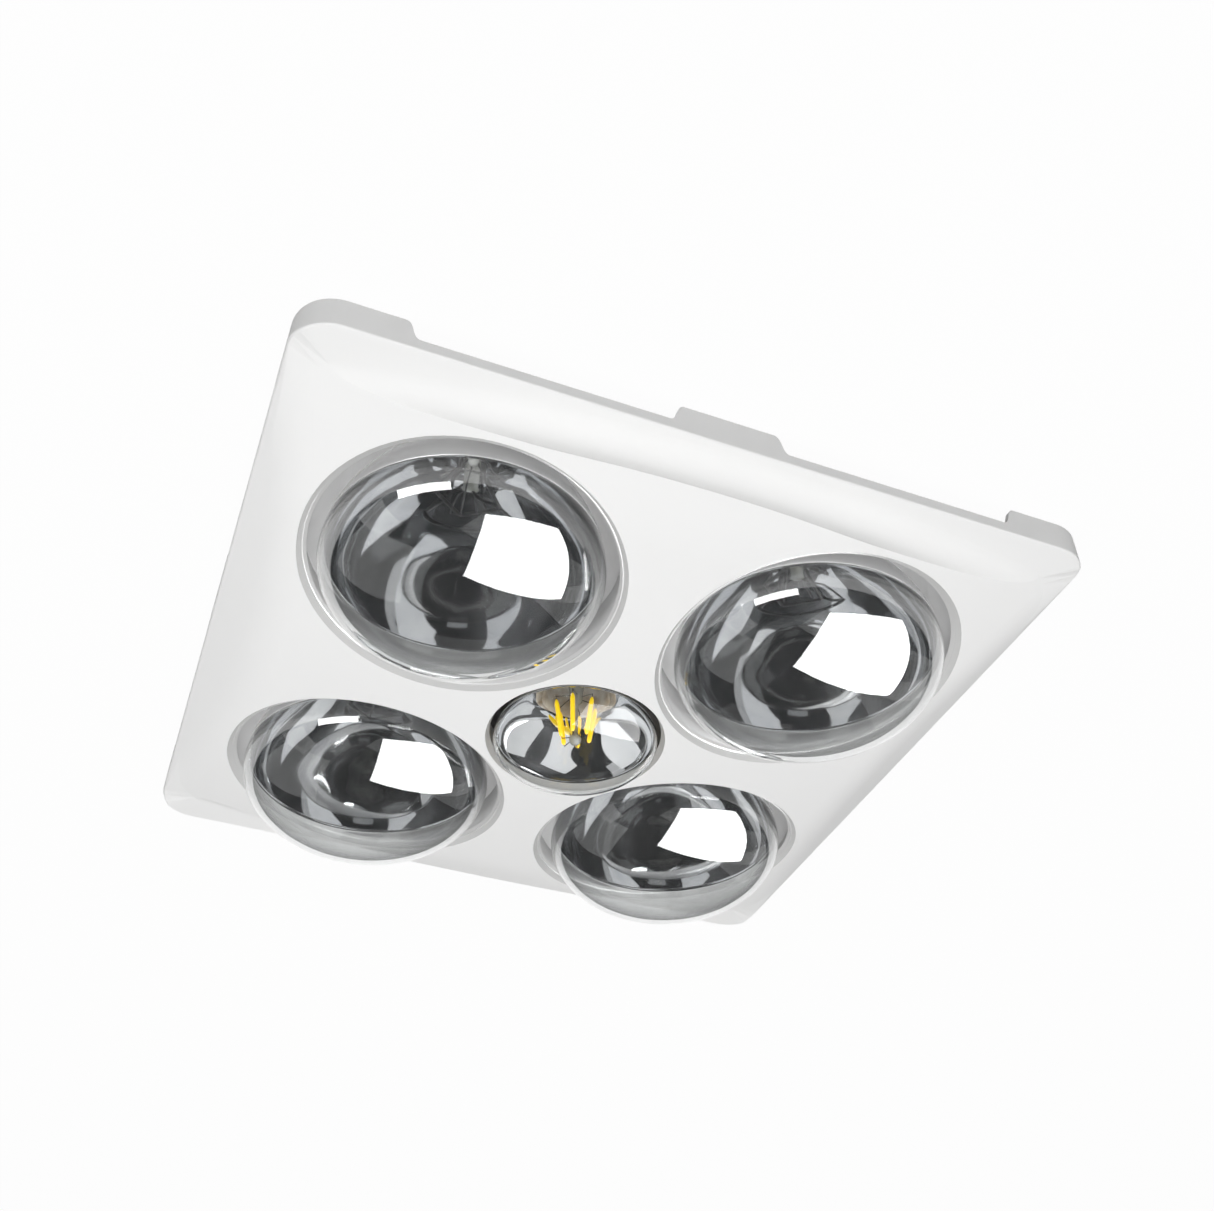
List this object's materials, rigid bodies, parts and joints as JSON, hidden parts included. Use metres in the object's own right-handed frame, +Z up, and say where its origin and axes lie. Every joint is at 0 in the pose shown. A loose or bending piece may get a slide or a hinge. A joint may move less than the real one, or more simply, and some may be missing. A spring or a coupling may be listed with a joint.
{
  "type": "ceiling heater, exhaust fan and light",
  "caption": "Square ceiling unit with a domed panel, a ring of infrared reflector lamps round a centre light, and a ducted centrifugal exhaust fan in a steel housing.",
  "frame": {"origin": "middle of the ceiling opening, in the plane of the ceiling's underside, which is the middle of the flange's four fixing holes", "axes": "+Z up into the ceiling void, +X to the duct outlet, -Y to the front"},
  "size_m": [0.404, 0.36, 0.29],
  "materials": {
    "white_plastic": "satin white moulded",
    "housing_steel": "galvanised sheet",
    "bracket_steel": "galvanised strap",
    "screw_steel": "zinc plated",
    "reflector_steel": "grey heat-proof paint",
    "lamp_glass": "clear hard glass, mirrored back",
    "cap_metal": "nickel plated",
    "filament_wire": "tungsten and molybdenum wire",
    "led_phosphor": "yellow phosphor coat",
    "stem_glass": "milky glass",
    "porcelain": "glazed porcelain",
    "brass": "bright",
    "fan_plastic": "flame-proof moulded",
    "impeller_plastic": "moulded",
    "flap_plastic": "moulded",
    "motor_steel": "black enamel",
    "bearing_bronze": "sintered bronze",
    "stator_iron": "laminated iron",
    "rotor_aluminium": "die-cast cage",
    "shaft_steel": "ground",
    "spring_steel": "zinc plated wire",
    "black_rubber": "moulded",
    "terminal_plastic": "moulded",
    "block_plastic": "moulded",
    "gland_plastic": "nylon",
    "capacitor_plastic": "moulded can",
    "cutout_metal": "pressed cup"
  },
  "bodies": {
    "housing": {"cable_gland": "gland_plastic", "capacitor": "capacitor_plastic", "damper_pin": "shaft_steel", "heat_lamp_cap_front_left": "cap_metal", "heat_lamp_cap_front_right": "cap_metal", "heat_lamp_cap_rear_left": "cap_metal", "heat_lamp_cap_rear_right": "cap_metal", "heat_lamp_filament_front_left": "filament_wire", "heat_lamp_filament_front_right": "filament_wire", "heat_lamp_filament_rear_left": "filament_wire", "heat_lamp_filament_rear_right": "filament_wire", "heat_lamp_glass_front_left": "lamp_glass", "heat_lamp_glass_front_right": "lamp_glass", "heat_lamp_glass_rear_left": "lamp_glass", "heat_lamp_glass_rear_right": "lamp_glass", "heat_lampholder_front_left": "porcelain", "heat_lampholder_front_right": "porcelain", "heat_lampholder_rear_left": "porcelain", "heat_lampholder_rear_right": "porcelain", "housing_box": "housing_steel", "lampholder_contacts": "brass", "lampholder_screws": "screw_steel", "light_bracket": "bracket_steel", "light_lamp_cap": "cap_metal", "light_lamp_glass": "lamp_glass", "light_lamp_led_sticks": "led_phosphor", "light_lamp_stem": "stem_glass", "light_lampholder": "porcelain", "motor_bearings": "bearing_bronze", "motor_grommets": "black_rubber", "motor_lower_case": "motor_steel", "motor_screws": "screw_steel", "motor_stator": "stator_iron", "motor_upper_case": "motor_steel", "outlet_adaptor": "fan_plastic", "panel_spring_front": "spring_steel", "panel_spring_left": "spring_steel", "panel_spring_rear": "spring_steel", "panel_spring_right": "spring_steel", "reflector_front_left": "reflector_steel", "reflector_front_right": "reflector_steel", "reflector_rear_left": "reflector_steel", "reflector_rear_right": "reflector_steel", "scroll_case": "fan_plastic", "scroll_cover": "fan_plastic", "scroll_screws": "screw_steel", "terminal_block": "block_plastic", "terminal_box": "terminal_plastic", "terminal_lid": "terminal_plastic", "terminal_screws": "screw_steel", "thermal_cutout": "cutout_metal", "top_plate": "housing_steel", "top_plate_screws": "screw_steel", "wire_grommet": "black_rubber"},
    "panel": {"front_panel": "white_plastic"},
    "fan_rotor": {"impeller": "impeller_plastic", "motor_rotor": "rotor_aluminium", "motor_shaft": "shaft_steel"},
    "damper": {"damper_flap": "flap_plastic"}
  },
  "joints": [
    {"name": "panel_pull_down", "type": "slide", "parent": "housing", "child": "panel", "axis": [0, 0, -1], "range_m": [0, 0.04], "stiffness_N_per_m": 1200, "springref_m": -0.02, "deforming": ["panel_spring_right", "panel_spring_rear", "panel_spring_left", "panel_spring_front"]},
    {"name": "fan_spin", "type": "hinge", "parent": "housing", "child": "fan_rotor", "pos_m": [0, 0, 0.16], "axis": [0, 0, 1], "continuous": true},
    {"name": "damper_swing", "type": "hinge", "parent": "housing", "child": "damper", "pos_m": [0.142, -0.076, 0.1748], "axis": [0, -1, 0], "range_deg": [0, 70]}
  ]
}
